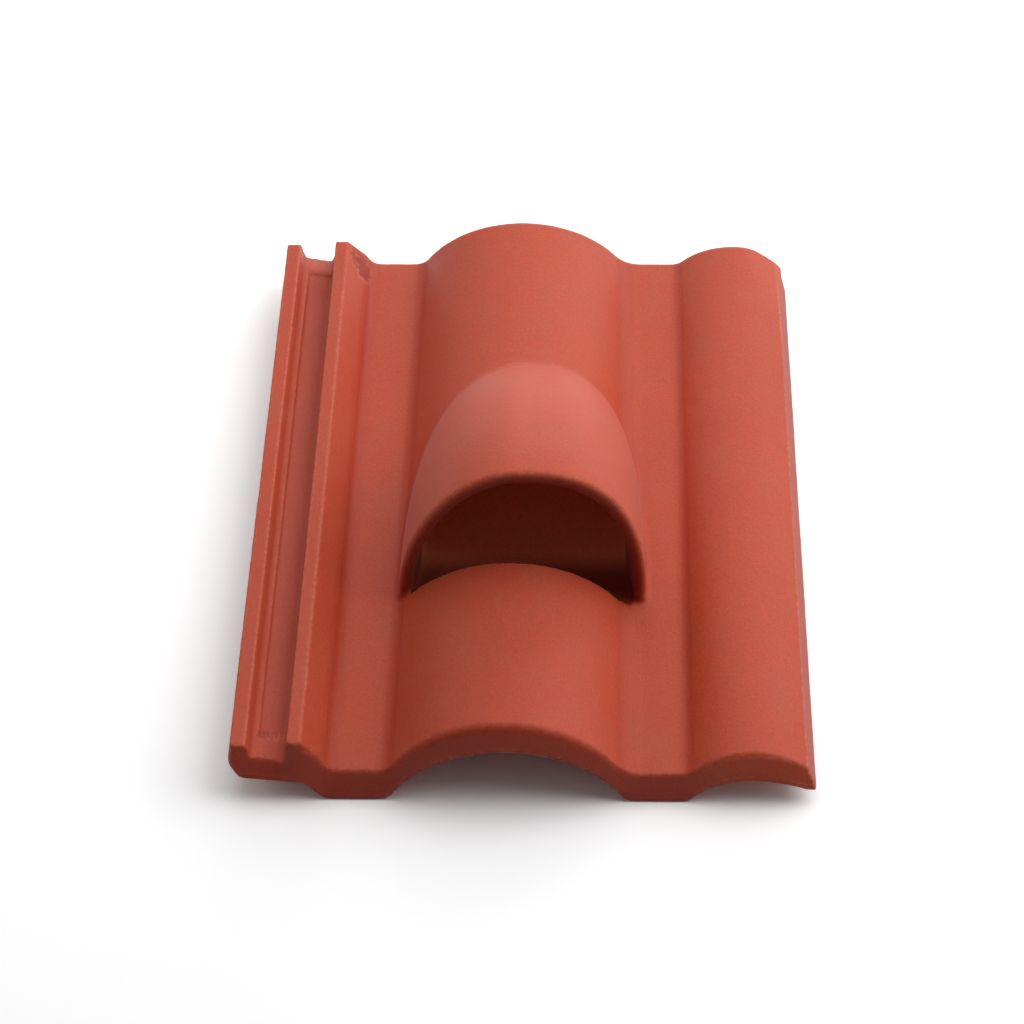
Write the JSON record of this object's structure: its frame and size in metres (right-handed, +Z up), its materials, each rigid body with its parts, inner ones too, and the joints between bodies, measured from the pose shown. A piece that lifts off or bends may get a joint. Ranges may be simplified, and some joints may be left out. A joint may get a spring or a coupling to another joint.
{
  "type": "hooded antenna roof tile",
  "caption": "Interlocking concrete roof tile with a cast hood over its middle roll, open towards the eave, that lets an antenna cable out through the roof.",
  "frame": {"origin": "on the resting plane, under the middle of the tile's outline", "axes": "+Y from the eave end up the roof to the head end, +X across to the overlapping roll at the right edge, +Z up out of the weather face"},
  "size_m": [0.33, 0.42, 0.1235],
  "materials": {
    "concrete": "matte through-coloured concrete with a thin brick-red surface coat"
  },
  "bodies": {
    "root": {"roof_tile": "concrete"}
  },
  "joints": []
}
